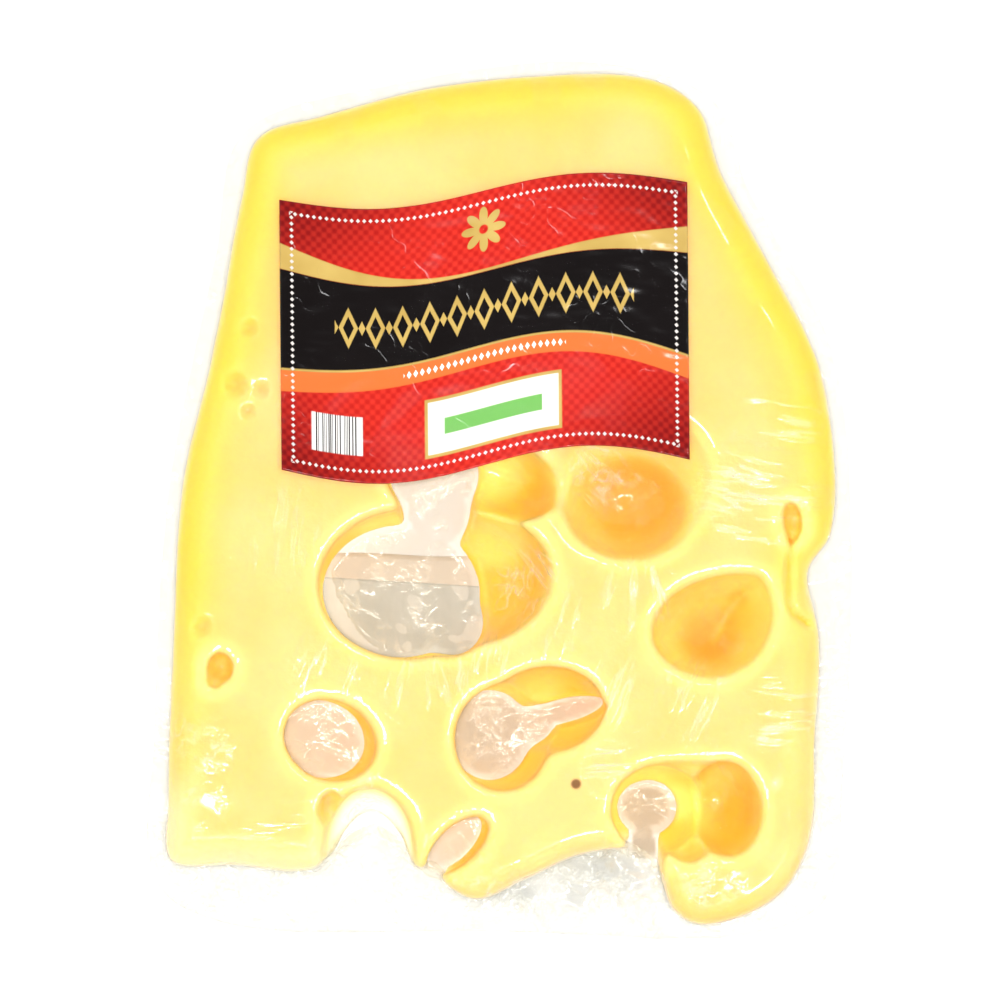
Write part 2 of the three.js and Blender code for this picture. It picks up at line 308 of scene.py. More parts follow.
def ripple(points, wavelength, seed, waves=14):
    """Smooth noise of about unit size, as a sum of waves in random directions."""
    rng = np.random.default_rng(SEED + seed)
    total = 0
    for _ in range(waves):
        direction = rng.normal(size=len(points))
        direction /= np.linalg.norm(direction)
        length = wavelength * rng.uniform(0.7, 1.5)
        phase = rng.uniform(0, 2 * math.pi)
        along = sum(d * p for d, p in zip(direction, points))
        total = total + np.sin(2 * math.pi * along / length + phase)
    return total / math.sqrt(waves / 2)


def ripples(points, waves):
    """Several ripples together: each has its wavelength, its seed and its size."""
    return sum(size * ripple(points, wavelength, seed) for wavelength, seed, size in waves)


def rim_round(x, y):
    torn = ramp(y, *RAGGED_Y) * ramp(x, *RAGGED_X)
    return RIM_ROUND + (RAGGED_ROUND - RIM_ROUND) * torn


def rounded_corner(a, b, radius):
    """Distance to the corner where two faces meet, when it is rounded."""
    return np.hypot(np.maximum(a + radius, 0), np.maximum(b + radius, 0)) - radius


def slab_field(z, edge, round_top):
    """The slab without its eyes: edge is the distance to its outline."""
    above, below = z - FACE, BASE - z
    upper = rounded_corner(edge, above, round_top)
    lower = rounded_corner(edge, below, FOOT_ROUND)
    shell = np.maximum(np.maximum(edge, above), below)
    return np.maximum(shell, np.maximum(upper, lower))


def eye_field(x, y, z, eye):
    """Distance to one eye's ellipsoid, or to what two ellipsoids share."""
    if isinstance(eye, list):
        return smooth_max(*(eye_field(x, y, z, part) for part in eye), VALLEY_BLEND)
    depth = FACE - z
    across, along = x - eye.at[0] - eye.lean[0] * depth, y - eye.at[1] - eye.lean[1] * depth
    opening = math.sqrt(1 - (eye.belly / eye.reach) ** 2)
    radii = eye.mouth[0] / opening, eye.mouth[1] / opening, eye.reach
    local = (*turned(across, along, eye.turn), depth - eye.belly)
    near = np.sqrt(sum((p / r) ** 2 for p, r in zip(local, radii)))
    slope = np.sqrt(sum((p / r**2) ** 2 for p, r in zip(local, radii)))
    return near * (near - 1) / np.maximum(slope, 1e-6)


def web_spread(x, y, web):
    """How far a place lies from the middle of a web, where 1 is its outline."""
    along, across = turned(x - web.at[0], y - web.at[1], web.turn)
    return np.hypot(along / web.radii[0], across / web.radii[1])


def first_part(eye):
    return eye[0] if isinstance(eye, list) else eye


THROUGH_EYES = [eye for eye in EYES if first_part(eye).belly + first_part(eye).reach > FACE]


def depth_in_eyes(points, eyes):
    """How far each point lies inside the nearest of the eyes, or outside if it is negative."""
    return np.max([-eye_field(*points.T, eye) for eye in eyes], axis=0)


# --- Meshes ---


def surface_net(field, low, step):
    """Vertices and quads of the surface on which a gridded field is zero."""
    cells = np.array(field.shape) - 1
    total = np.zeros((cells.prod(), 3))
    count = np.zeros(cells.prod())
    crossings = []
    for axis in range(3):
        a = np.take(field, range(cells[axis]), axis)
        b = np.take(field, range(1, cells[axis] + 1), axis)
        where = np.argwhere((a < 0) != (b < 0))
        key = tuple(where.T)
        point = where.astype(float)
        point[:, axis] += a[key] / (a[key] - b[key])
        u, v = (axis + 1) % 3, (axis + 2) % 3
        corners = []
        for du, dv in ((0, 0), (1, 0), (1, 1), (0, 1)):
            cell = where.copy()
            cell[:, u] -= du
            cell[:, v] -= dv
            corners.append(cell)
        ok = np.all([np.all((c >= 0) & (c < cells), axis=1) for c in corners], axis=0)
        quads = np.stack([np.ravel_multi_index(cell[ok].T, cells) for cell in corners], axis=1)
        for index in quads.T:
            np.add.at(count, index, 1)
            np.add.at(total, index, point[ok])
        outward = (a[key] < 0)[ok]
        crossings.append(np.where(outward[:, None], quads, quads[:, ::-1]))
    used = np.flatnonzero(count)
    number = np.zeros(len(count), int)
    number[used] = np.arange(len(used))
    points = total[used] / count[used, None] * step + low
    return points, number[np.concatenate(crossings)]


def rows(*columns):
    """Arrays of the same shape, as the columns of one table."""
    return np.stack(columns, axis=-1).reshape(-1, len(columns))


def add_object(name, data):
    thing = bpy.data.objects.new(name, data)
    bpy.context.collection.objects.link(thing)
    return thing


def add_mesh(name, points, faces, material, attributes):
    """A smooth-shaded object from points in millimetres, with values for each point."""
    mesh = bpy.data.meshes.new(name)
    mesh.from_pydata((np.asarray(points) * MM).tolist(), [], np.asarray(faces).tolist())
    mesh.update()
    mesh.polygons.foreach_set("use_smooth", np.ones(len(mesh.polygons), bool))
    for key, values in attributes.items():
        values = np.asarray(values, np.float32).ravel()
        single = len(values) == len(points)
        kind, field = ("FLOAT", "value") if single else ("FLOAT_VECTOR", "vector")
        mesh.attributes.new(key, kind, "POINT").data.foreach_set(field, values)
    mesh.materials.append(material)
    return add_object(name, mesh)


# --- Materials ---


BLACK = (0, 0, 0)

PASTE = (0.93, 0.56, 0.165), (0.94, 0.61, 0.225)
# Coats over the paste, one after the other, each as strong as the slab's attribute of its name.
PASTE_COATS = {
    "rim": (0.94, 0.565, 0.07),
    # painted highlight round the eyes' mouths; the slab's outer side gets the same lighter paste
    "lip": (0.96, 0.74, 0.24),
    "wall": (0.97, 0.74, 0.17),
    # painted shade on the walls of eyes
    "painted_cave_shade": (0.98, 0.5, 0.045),
    # painted shade, deeper still, at the listed spots in the eyes
    "painted_deep_shade": (0.8, 0.3, 0.03),
    # painted light: near-white paste on the torn faces and down the notch's slope
    "painted_pale_light": (0.97, 0.93, 0.72),
}
PAINTED_GLOW = (0.34, 0.27, 0.05)  # painted glow: emission that stands in for light coming through thin paste
PAINTED_GLOW_COATS = {"painted_cave_shade": (0.4, 0.2, 0.015), "painted_pale_light": (0.45, 0.4, 0.28)}
BROWN = (0.24, 0.1, 0.02)

FILM_GLOSS = (0.98, 0.97, 0.88)
FILM_CLEAR = (0.995, 0.995, 0.99)
# painted bounce: the paste's warm light, painted on what is seen through the film
# painted shadow: grey that darkens what is seen through the margin's shaded patches
FILM_COATS = {"warm": (0.84, 0.8, 0.75), "painted_shadow": (0.87, 0.875, 0.875)}

# Colours of the print, each from one to the other.
RED = (0.46, 0.014, 0.01), (0.6, 0.03, 0.018)
DARK_RED = (0.12, 0.004, 0.005), (0.25, 0.01, 0.008)
GOLD = (0.38, 0.24, 0.055), (0.6, 0.43, 0.13)
DARK = (0.004, 0.003, 0.003), (0.008, 0.006, 0.006)
CODE = (0.8, 0.78, 0.75), (0.03, 0.025, 0.025)
ORANGE = (0.68, 0.15, 0.035)
DOT_WHITE = (0.9, 0.85, 0.8)
BORDER_WHITE = (0.62, 0.58, 0.54)
CREAM = (0.86, 0.84, 0.78)
GREEN = (0.16, 0.42, 0.1)

STICKER = (0.49, 0.495, 0.465), (0.59, 0.595, 0.565)
SEAM = (0.61, 0.54, 0.46), (0.63, 0.565, 0.485)
FLOOR = (0.74, 0.74, 0.74)


class Shader:
    """A material's node tree, with short ways to add and link its nodes."""

    def __init__(self, name):
        self.material = bpy.data.materials.new(name)
        self.material.use_nodes = True
        self.tree = self.material.node_tree
        self.tree.nodes.clear()
        self.output = self.add("OutputMaterial")

    def join(self, socket, value):
        """Links another node's output to a socket, or sets the socket to a value."""
        if isinstance(value, bpy.types.NodeSocket):
            self.tree.links.new(value, socket)
        else:
            socket.default_value = (*value, 1.0) if socket.type == "RGBA" else value

    def add(self, kind, settings=None, **inputs):
        """A new node. Spaces in its sockets' names are written as underscores."""
        node = self.tree.nodes.new("ShaderNode" + kind)
        for key, value in (settings or {}).items():
            setattr(node, key, value)
        for key, value in inputs.items():
            self.join(node.inputs[key.replace("_", " ")], value)
        return node

    def filled(self, kind, settings, *values):
        """A new node whose first sockets take the values."""
        node = self.add(kind, settings)
        for socket, value in zip(node.inputs, values):
            self.join(socket, value)
        return node

    def math(self, operation, *values):
        return self.filled("Math", {"operation": operation}, *values).outputs[0]

    def plus(self, a, b):
        return self.math("ADD", a, b)

    def minus(self, a, b):
        return self.math("SUBTRACT", a, b)

    def times(self, a, b):
        return self.math("MULTIPLY", a, b)

    def blend(self, amount, span, start):
        """The start, and as much of the span as the amount says."""
        return self.math("MULTIPLY_ADD", amount, span, start)

    def size(self, value):
        return self.math("ABSOLUTE", value)

    def attribute(self, name, output="Fac"):
        return self.add("Attribute", {"attribute_name": name}).outputs[output]

    def position(self):
        return self.add("TexCoord").outputs["Object"]

    def noise(self, vector, scale, detail=3.0):
        texture = self.add("TexNoise", Vector=vector, Scale=scale, Detail=detail)
        return texture.outputs["Fac"]

    def mix(self, amount, a, b):
        """A mix of two colours."""
        node = self.add("Mix", {"data_type": "RGBA"})
        for socket, value in ((0, amount), (6, a), (7, b)):  # those of its sockets that mix colours
            self.join(node.inputs[socket], value)
        return node.outputs[2]

    def coats(self, paint, colours):
        """The paint under coats of other colours, by the attributes that they are named after."""
        for name, colour in colours.items():
            paint = self.mix(self.attribute(name), paint, colour)
        return paint

    def step(self, value, start, end):
        """0 below start and 1 above end, or the other way round if end is below start."""
        settings = {"interpolation_type": "SMOOTHSTEP"}
        return self.filled("MapRange", settings, value, start, end, 0.0, 1.0).outputs[0]

    def below(self, value, limit, soft=0.002):
        """1 where the value is below the limit."""
        return self.step(value, limit + soft, limit - soft)

    def creases(self, vector, scale, narrow, gaps):
        """Narrow crests where a noise crosses its middle, with stretches left out by another."""
        swing = self.blend(self.noise(vector, scale, detail=1.5), 2.0, -1.0)
        crest = self.minus(1.0, self.size(swing))
        kept = self.step(self.noise(vector, scale * gaps, detail=0), 0.44, 0.6)
        return self.times(self.math("POWER", crest, narrow), kept)

    def bump(self, height, strength, distance):
        node = self.add("Bump", Height=height, Strength=strength, Distance=distance)
        return node.outputs["Normal"]

    def finish(self, surface):
        self.join(self.output.inputs["Surface"], surface.outputs[0])
        return self.material

    def principled(self, **inputs):
        """Finishes the material with one surface."""
        return self.finish(self.add("BsdfPrincipled", **inputs))


def brown_spot(s, x, y, radius):
    """1 inside a small spot on the face, which fades out round it."""
    middle = (x * MM, y * MM, FACE * MM)
    settings = {"operation": "DISTANCE"}
    gap = s.filled("VectorMath", settings, s.position(), middle).outputs["Value"]
    return s.step(gap, radius * MM * 1.25, radius * MM * 0.6)


def cheese_material():
    """Waxy yellow paste, deeper towards its rim, with painted shade inside its eyes, painted light
    on its torn faces and round its eyes' mouths, and a painted glow.
    """
    s = Shader("cheese_paste")
    where = s.position()
    cloudy = s.step(s.noise(where, 38, detail=4), 0.35, 0.65)
    paint = s.coats(s.mix(cloudy, *PASTE), PASTE_COATS)
    for spot in BROWN_SPOTS:
        paint = s.mix(brown_spot(s, *spot), paint, BROWN)
    dents, grain = s.noise(where, 160, detail=2), s.noise(where, 900)
    return s.principled(
        Base_Color=paint,
        Roughness=s.blend(cloudy, 0.12, 0.46),
        Specular_IOR_Level=0.3,
        # painted glow: emission that stands in for light coming through thin paste
        Emission_Color=s.mix(s.attribute("painted_glow"), BLACK, s.coats(PAINTED_GLOW, PAINTED_GLOW_COATS)),
        Emission_Strength=1.0,
        Subsurface_Weight=0.8,
        Subsurface_Radius=(1.0, 0.7, 0.3),
        Subsurface_Scale=0.01,
        Normal=s.bump(s.blend(dents, 2.0, grain), strength=0.2, distance=0.0003),
    )


def film_material():
    """Clear film that shows by its reflections, which fine creases break into glints, with painted
    glints as white strokes along its creases and painted light in its milky veil.
    """
    s = Shader("clear_film")
    where = s.position()
    crumple, streaky = s.attribute("crumple"), s.attribute("streaky")

    fine = s.creases(where, 750, narrow=3.0, gaps=0.2)
    small = s.creases(where, 330, narrow=8.0, gaps=0.5)
    large = s.creases(where, 120, narrow=14.0, gaps=0.7)
    lines = s.creases(s.attribute("streak", "Vector"), 1.0, narrow=9.0, gaps=0.6)
    relief = s.times(s.blend(large, 2.0, s.blend(fine, 0.6, small)), crumple)
    relief = s.blend(lines, streaky, relief)
    relief = s.blend(s.noise(where, 60, detail=1), 0.4, relief)
    normal = s.bump(relief, strength=1.0, distance=0.00016)

    mirror = s.add("Fresnel", IOR=1.5, Normal=normal).outputs[0]
    sheen = s.math("MINIMUM", mirror, s.attribute("shine"))
    # painted glints: white strokes along the creases, seen whatever the lights
    painted_glint_strokes = s.blend(s.times(small, crumple), 0.9, s.times(lines, streaky))
    cover = s.plus(sheen, s.blend(painted_glint_strokes, 0.3, s.attribute("milk_and_painted_light")))
    gloss = s.add(
        "BsdfPrincipled",
        Base_Color=FILM_GLOSS,
        Metallic=s.math("DIVIDE", sheen, s.math("MAXIMUM", cover, 0.001)),
        Roughness=0.1,
        Specular_IOR_Level=0.0,
        Normal=normal,
    )
    clear = s.add("BsdfTransparent", Color=s.coats(FILM_CLEAR, FILM_COATS))
    return s.finish(s.filled("MixShader", {}, cover, clear.outputs[0], gloss.outputs[0]))


class LabelPrint(Shader):
    """A printed label: red field, black band edged in gold, orange stripe and plain ornaments.

    The print attribute runs from 0 to 1 across the label and from 0 at its foot to 1 at its head.
    Each ornament's method takes the paint under it and returns the paint with it.
    """

    def __init__(self):
        super().__init__("label_print")
        place = self.add("SeparateXYZ", Vector=self.attribute("print", "Vector"))
        self.across, self.up = place.outputs[0], place.outputs[1]
        self.off_x = self.size(self.minus(self.across, 0.5))
        self.off_y = self.size(self.minus(self.up, 0.5))
        self.band_foot, self.band_head = self.bowed(*BAND_FOOT), self.bowed(*BAND_HEAD)
        self.stripe_foot = self.bowed(*STRIPE_FOOT)
        self.gold = self.mix(self.noise(self.position(), 120, detail=2), *GOLD)
        self.check = self.woven()
        self.red = self.mix(self.check, *RED)

    def between(self, value, low, high, soft=0.003):
        """1 where the value lies between low and high."""
        inside = self.math("MINIMUM", self.minus(value, low), self.minus(high, value))
        return self.step(inside, -soft, soft)

    def bowed(self, ends, middle):
        """A height that bows from one value at both ends of the label to another in its middle."""
        arch = self.math("SINE", self.times(self.across, math.pi))
        return self.blend(arch, middle - ends, ends)

    def halfway(self, low, high):
        return self.times(self.plus(low, high), 0.5)

    def repeat(self, value):
        """From -0.5 to 0.5 in each unit of the value."""
        return self.minus(self.math("FRACT", value), 0.5)

    def lozenge(self, x, y, half_width, half_height):
        far_x = self.math("DIVIDE", self.size(x), half_width)
        far_y = self.math("DIVIDE", self.size(y), half_height)
        return self.below(self.plus(far_x, far_y), 1, soft=0.06)

    def woven(self):
        """A fine check."""
        threads = [
            self.math("SINE", self.times(along, 2 * math.pi * count))
            for along, count in zip((self.across, self.up), WEAVE)
        ]
        return self.step(self.times(*threads), -0.9, 0.9)

    def field(self):
        """Red with the check woven through it, darker towards its corners."""
        corner = self.step(self.plus(self.off_x, self.times(self.off_y, 0.9)), 0.45, 0.98)
        return self.mix(corner, self.red, self.mix(self.check, *DARK_RED))

    def bands(self, paint):
        """The black band between gold ones, and the orange stripe under it."""
        black = self.mix(self.noise(self.position(), 60, detail=2), *DARK)
        rule = self.plus(self.band_foot, RULE)
        bands = (
            (self.band_head, self.bowed(*GOLD_HEAD), self.gold),
            (self.band_foot, self.band_head, black),
            (self.stripe_foot, self.band_foot, ORANGE),
            (self.band_foot, rule, self.gold),
        )
        for low, high, colour in bands:
            paint = self.mix(self.between(self.up, low, high), paint, colour)
        return paint

    def chain(self, paint):
        """Gold lozenges and beads along the middle of the black band."""
        along = self.times(self.minus(self.across, 0.5), LINKS_ACROSS)
        link, bead = self.repeat(self.plus(along, 0.5)), self.repeat(along)
        level = self.minus(self.up, self.halfway(self.band_foot, self.band_head))
        hole, beads = self.lozenge(link, level, *LINK_HOLE), self.lozenge(bead, level, *BEAD)
        drawn = self.math("MAXIMUM", self.minus(self.lozenge(link, level, *LINK), hole), beads)
        kept = self.below(self.size(along), LINKS / 2, soft=0.02)
        return self.mix(self.times(drawn, kept), paint, self.gold)

    def rosette(self, paint):
        """A gold flower above the band."""
        x = self.times(self.minus(self.across, 0.5), LABEL_SIZE[0])
        y = self.times(self.minus(self.up, ROSETTE_UP), LABEL_SIZE[1])
        squares = self.plus(self.math("POWER", x, 2.0), self.math("POWER", y, 2.0))
        radius = self.math("SQRT", squares)
        angle = self.math("ARCTAN2", y, x)
        wave = self.size(self.math("COSINE", self.times(angle, 4.0)))
        reach = self.blend(wave, PETALS[1], PETALS[0])
        petals = self.below(self.minus(radius, reach), 0, soft=0.15)
        eyelet = self.between(radius, 0.0, EYELET, soft=0.15)
        return self.mix(eyelet, self.mix(petals, paint, self.gold), self.red)

    def stripe_dots(self, paint):
        """A row of pale dots along the middle of the orange stripe."""
        along = self.repeat(self.times(self.across, DOTS_ACROSS))
        level = self.minus(self.up, self.halfway(self.stripe_foot, self.band_foot))
        dots = self.lozenge(along, level, *STRIPE_DOT)
        kept = self.below(self.off_x, DOTS_REACH, soft=0.001)
        return self.mix(self.times(dots, kept), paint, DOT_WHITE)

    def border(self, paint):
        """Dots along all four sides."""
        sides = (self.across, self.off_x, LABEL_SIZE[0]), (self.up, self.off_y, LABEL_SIZE[1])
        for (along, off_along, length), (_, off_across, width) in (sides, sides[::-1]):
            dots = self.times(along, round(length / BORDER_PITCH))
            dot_along = self.times(self.repeat(dots), BORDER_PITCH)
            inward = self.times(self.minus(0.5, off_across), width)
            row = self.minus(inward, BORDER_INSET)
            dot = self.lozenge(dot_along, row, BORDER_DOT, BORDER_DOT)
            from_end = self.times(self.minus(0.5, off_along), length)
            kept = self.step(from_end, BORDER_INSET - 0.5, BORDER_INSET - 0.4)
            paint = self.mix(self.times(dot, kept), paint, BORDER_WHITE)
        return paint

    def panel(self, paint):
        """A cream panel with a gold frame and a green bar."""
        off = self.size(self.minus(self.across, PANEL_AT))
        parts = ((PANEL_FRAME, self.gold), (PANEL, CREAM), (PANEL_BAR, GREEN))
        for (half, heights), colour in parts:
            part = self.times(self.below(off, half), self.between(self.up, *heights))
            paint = self.mix(part, paint, colour)
        return paint

    def code(self, paint):
        """A block of plain upright bars."""
        across = self.between(self.across, *CODE_ACROSS)
        block = self.times(across, self.between(self.up, *CODE_UP))
        place = self.add("CombineXYZ", X=self.across).outputs[0]
        bars = self.step(self.noise(place, 260, detail=0), 0.5, 0.53)
        return self.mix(block, paint, self.mix(bars, *CODE))


def label_material():
    """Glossy coated paper, softly creased."""
    s = LabelPrint()
    paint = s.bands(s.field())
    for ornament in (s.chain, s.rosette, s.stripe_dots, s.border, s.panel, s.code):
        paint = ornament(paint)
    creases = s.creases(s.position(), 200, narrow=14.0, gaps=0.4)
    return s.principled(
        Base_Color=paint,
        Roughness=s.blend(s.noise(s.position(), 40, detail=1), 0.06, 0.08),
        Specular_IOR_Level=0.3,
        Normal=s.bump(creases, strength=1.0, distance=0.000035),
    )


def sticker_material():
    """Plain off-white paper, faintly mottled by what it is stuck to."""
    s = Shader("sticker_paper")
    where = s.position()
    mottle = s.step(s.noise(where, 130, detail=4), 0.3, 0.7)
    fibres = s.add("Mapping", Vector=where, Scale=(1500, 260, 260)).outputs[0]
    return s.principled(
        Base_Color=s.mix(s.times(mottle, s.noise(fibres, 1.0, detail=2)), *STICKER),
        Roughness=s.blend(mottle, 0.1, 0.6),
        Normal=s.bump(s.noise(where, 900), strength=0.15, distance=0.0002),
    )


def seam_material():
    """Two laps of film, milky where they are welded together."""
    s = Shader("film_seam")
    where = s.position()
    cloud = s.step(s.noise(where, 90), 0.3, 0.7)
    return s.principled(
        Base_Color=s.mix(cloud, *SEAM),
        Roughness=s.blend(cloud, 0.1, 0.35),
        Normal=s.bump(s.noise(where, 400, detail=2), strength=0.1, distance=0.0001),
    )


def floor_material():
    return Shader("pale_floor").principled(Base_Color=FLOOR, Roughness=0.9)


def crease_map(x, y):
    """For each place: how crumpled the film is, how streaky, and where it is along the streaks."""
    crumple, streaky = np.zeros((2, *x.shape))
    streak = np.zeros((*x.shape, 3))
    for number, ((middle_x, middle_y), reach, strength, way) in enumerate(CREASES):
        dx, dy = x - middle_x, y - middle_y
        weight = strength * ramp(np.hypot(dx, dy), reach, reach * 0.45)
        if way is None:
            crumple = np.maximum(crumple, weight)
            continue
        if isinstance(way, tuple):
            dx, dy = x - way[0], y - way[1]
            along = np.hypot(dx, dy)
            across = np.arctan2(dy, dx) * math.hypot(middle_x - way[0], middle_y - way[1])
        else:
            along, across = turned(dx, dy, way)
        here = weight > streaky
        streaky = np.where(here, weight, streaky)
        apart = np.full(x.shape, 9.7 * number)  # so that no two creases share their noise
        place = np.stack([across / STREAK_WIDTH, along / STREAK_LENGTH, apart], axis=-1)
        streak[here] = place[here]
    return crumple, streaky, streak


def ridges(noise):
    return np.clip(1 - np.abs(noise), 0, 1) ** 2


def wrinkles(x, y):
    """How far the film's larger wrinkles stand off the cheese."""
    crumple, streaky, streak = crease_map(x, y)
    plain = crumple * ridges(ripple((x, y), 5, 51)) * CRUMPLE_HEIGHT
    across, along, _ = np.moveaxis(2 * streak, -1, 0)
    lines = streaky * ridges(ripple((across, along), 5, 52)) * STREAK_HEIGHT
    wavy = y + 0.3 * ripple((x,), 7, 53)
    return plain + lines + sum(line_height(x, wavy, fold) for fold in FOLDS)


def film_piece(name, points, faces, material, face=1.0, **values):
    """A piece of film: its values are numbers, or one for each point."""
    _, streaky, streak = crease_map(points[:, 0], points[:, 1])
    attributes = {"streak": streak, "streaky": 1.6 * streaky * face}
    for key, value in values.items():
        attributes[key] = np.broadcast_to(value, len(points))
    return add_mesh(name, points, faces, material, attributes)


# --- The cheese and its film ---


class Grid:
    """The lattice of points on which the fields are worked out."""

    def __init__(self):
        self.low = np.array([*PACK_LOW[:2], -0.5 * GRID_STEP]) - GRID_MARGIN
        high = PACK_HIGH + GRID_MARGIN
        axes = [np.arange(a, b, GRID_STEP) for a, b in zip(self.low, high)]
        self.x, self.y, self.z = np.meshgrid(*axes, indexing="ij", sparse=True)
        self.plan = np.broadcast_arrays(self.x[:, :, 0], self.y[:, :, 0])
        self.edge = distance_to_loop(*self.plan, smooth_loop(SLAB_OUTLINE))

    def edge_at(self, x, y):
        """The distance to the slab's outline at each place."""
        u, v = (x - self.low[0]) / GRID_STEP, (y - self.low[1]) / GRID_STEP
        i = np.clip(u.astype(int), 0, self.edge.shape[0] - 2)
        j = np.clip(v.astype(int), 0, self.edge.shape[1] - 2)
        u, v = u - i, v - j
        near = self.edge[i, j] * (1 - v) + self.edge[i, j + 1] * v
        far = self.edge[i + 1, j] * (1 - v) + self.edge[i + 1, j + 1] * v
        return near * (1 - u) + far * u

    def cheese(self):
        field = slab_field(self.z, self.edge[:, :, None], rim_round(self.x, self.y))
        for eye in EYES:
            hollow = eye_field(self.x, self.y, self.z, eye)
            field = smooth_max(field, -hollow, first_part(eye).soft)
        for x, y, radius in DIMPLES:
            ball = np.sqrt((self.x - x) ** 2 + (self.y - y) ** 2 + (self.z - FACE) ** 2) - radius
            field = smooth_max(field, -ball, radius)
        grooves = sum(line_height(*self.plan, groove) for groove in GROOVES)
        return field + ripples((self.x, self.y, self.z), LUMPS) + grooves[:, :, None]

    def film(self, cheese):
        """The skin of film over the cheese, with its larger wrinkles, and across open eyes."""
        field = cheese - FILM_GAP - wrinkles(*self.plan)[:, :, None]
        waves = ripples(self.plan, WEB_WAVES)
        under = BASE - FILM_GAP - self.z
        for web in WEBS:
            slack = min(0.12, 0.05 * web.height)
            top = (web.height + slack * waves) * ramp(web_spread(*self.plan, web), 1, 0.72)
            field = np.minimum(field, np.maximum(self.z - top[:, :, None], under))
        return field


class Places:
    """Where each point of a mesh lies on the slab."""

    def __init__(self, grid, points):
        self.points = points
        self.x, self.y, z = points.T
        self.edge = grid.edge_at(self.x, self.y)
        self.depth = FACE - z
        self.inside = depth_in_eyes(points, EYES)
        self.through = depth_in_eyes(points, THROUGH_EYES)
        # 1 on the slab's outer side below its rim, and 0 on its face, in its eyes and beyond it.
        on_side = ramp(self.edge, -3, -1) * ramp(self.edge, 1.5, 0.7)
        self.side = on_side * ramp(self.depth, 2.5, 6.5) * ramp(self.inside, 0.5, -1.5)

    def torn(self, inner_edge, depths, less_on_side):
        """1 on the edge that the slab is torn along, and less of it on the slab's outer side."""
        edge = ramp(self.y, *TORN_Y) * ramp(self.edge, inner_edge, 0.5)
        return edge * ramp(self.depth, *depths) * (1 - less_on_side * self.side)


# painted shade at the listed spots, and painted light where their amount is negative
def shade_tones(p):
    return sum(
        amount * ramp(np.hypot(p.x - x, p.y - y), radius, radius * 0.3)
        for (x, y), radius, amount in SHADE_TONES
    )


def shaded_wall_side(p):
    """Painted shade by side: 1 on the walls of eyes that lie towards the shaded side from their
    middle, to 0 on the others.
    """
    best = np.full(p.x.shape, -np.inf)
    side = np.zeros(p.x.shape)
    for eye in EYES:
        inside = -eye_field(*p.points.T, eye)
        x, y = first_part(eye).at
        dx, dy = p.x - x, p.y - y
        facing = (dx * SHADED_WALL_SIDE[0] + dy * SHADED_WALL_SIDE[1]) / np.maximum(np.hypot(dx, dy), 1)
        side = np.where(inside > best, facing, side)
        best = np.maximum(best, inside)
    return ramp(side, -0.6, 0.8)


def paste_values(p):
    """How strong each coat of the paste is at each point, and how strong its painted glow is."""
    hollow = ramp(p.inside, -1.4, 0.4) * ramp(p.edge, -1, -5)
    shade_tone = shade_tones(p)
    torn = p.torn(-3, (2, 12), 0.8)
    notch_slope = ramp(depth_in_eyes(p.points, [NOTCH]), -2, 0) * ramp(p.depth, 4, 18)
    torn_face = ramp(p.y, -52, -66) * ramp(p.edge, -8, -2) * ramp(p.x, -10, -40)
    crack = sum(line_height(p.x, p.y, groove) / groove[-1] for groove in GROOVES)
    upper_rim = ramp(p.edge + 1.2 * ripple(p.points.T, 30, 3), -14, -2)
    # painted highlight round the eyes' mouths; the slab's outer side gets the same lighter paste
    lip = 0.7 * np.exp(-(((p.inside + 1.6) / 1.3) ** 2)) * ramp(p.depth, 3, 0.5)
    thin_web = ramp(p.through, -1.4, 0.4) * ramp(p.depth, 2.5, 10)
    thin_rim = 0.9 * ramp(p.edge, -4.5, -0.5) * ramp(p.depth, 0.6, 5) * (1 - 0.75 * p.side)
    return {
        "rim": np.maximum(upper_rim * ramp(p.y - 0.15 * p.x, -55, 0), crack),
        "lip": np.maximum(lip, 0.9 * p.side),
        "wall": hollow * ramp(p.depth, 0.4, 3),
        # painted shade on eye walls: more of it further down and on the shaded side
        "painted_cave_shade": hollow * ramp(p.depth, 2.5, 11) * np.clip(0.3 + 0.7 * shaded_wall_side(p) + shade_tone, 0, 1),
        # deeper painted shade at the listed spots
        "painted_deep_shade": hollow * np.clip(shade_tone, 0, 1) * ramp(p.depth, 1, 5),
        # painted light: near-white paste on the torn faces and down the notch's slope
        "painted_pale_light": np.max([torn, notch_slope, 0.3 * torn_face], axis=0),
        # painted glow in the walls of open eyes, on the torn edge and along the slab's thin rim
        "painted_glow": np.max([thin_web, torn, thin_rim], axis=0),
    }


def build_cheese(grid, field):
    points, quads = surface_net(field, grid.low, GRID_STEP)
    values = paste_values(Places(grid, points))
    return add_mesh("cheese_slab", points, quads, cheese_material(), values)


def painted_bounce_on_webs(p):
    """How much painted bounce light from the paste round it tints the film that closes an eye."""
    warmths = [web.warmth * ramp(web_spread(p.x, p.y, web), 1, 0.75) for web in WEBS]
    return np.max(warmths, axis=0)


